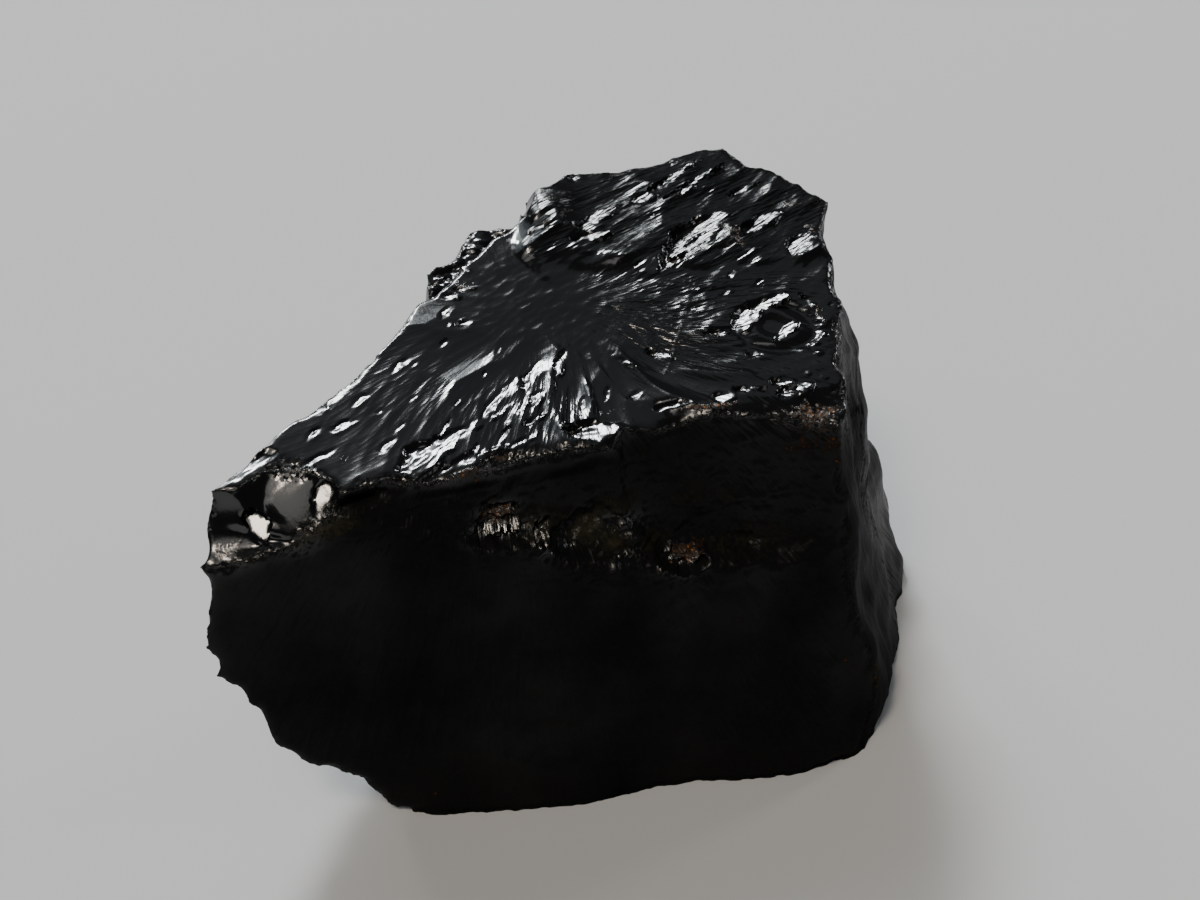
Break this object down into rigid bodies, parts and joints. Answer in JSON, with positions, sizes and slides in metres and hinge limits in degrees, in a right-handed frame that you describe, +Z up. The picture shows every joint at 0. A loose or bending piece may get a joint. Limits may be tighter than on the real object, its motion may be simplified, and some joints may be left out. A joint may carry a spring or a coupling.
{
  "type": "raw elite shungite stone",
  "caption": "Lump of raw elite shungite, black and glassy, with a hackled top face, a set-back band and ledge across the front, a scooped left corner and a flat base it rests on.",
  "frame": {"origin": "centre of the bounding box's footprint, on the plane of the flat base", "axes": "+X from the thin left tip towards the right side, along the stone's longest extent; +Y from the tall front face towards the back; +Z up, away from the base"},
  "size_m": [0.0354, 0.0274, 0.024],
  "materials": {
    "elite_shungite": "glassy, semi-metallic black with conchoidal hackles and a thin rust-brown film in places"
  },
  "bodies": {
    "root": {"shungite_stone": "elite_shungite"}
  },
  "joints": []
}
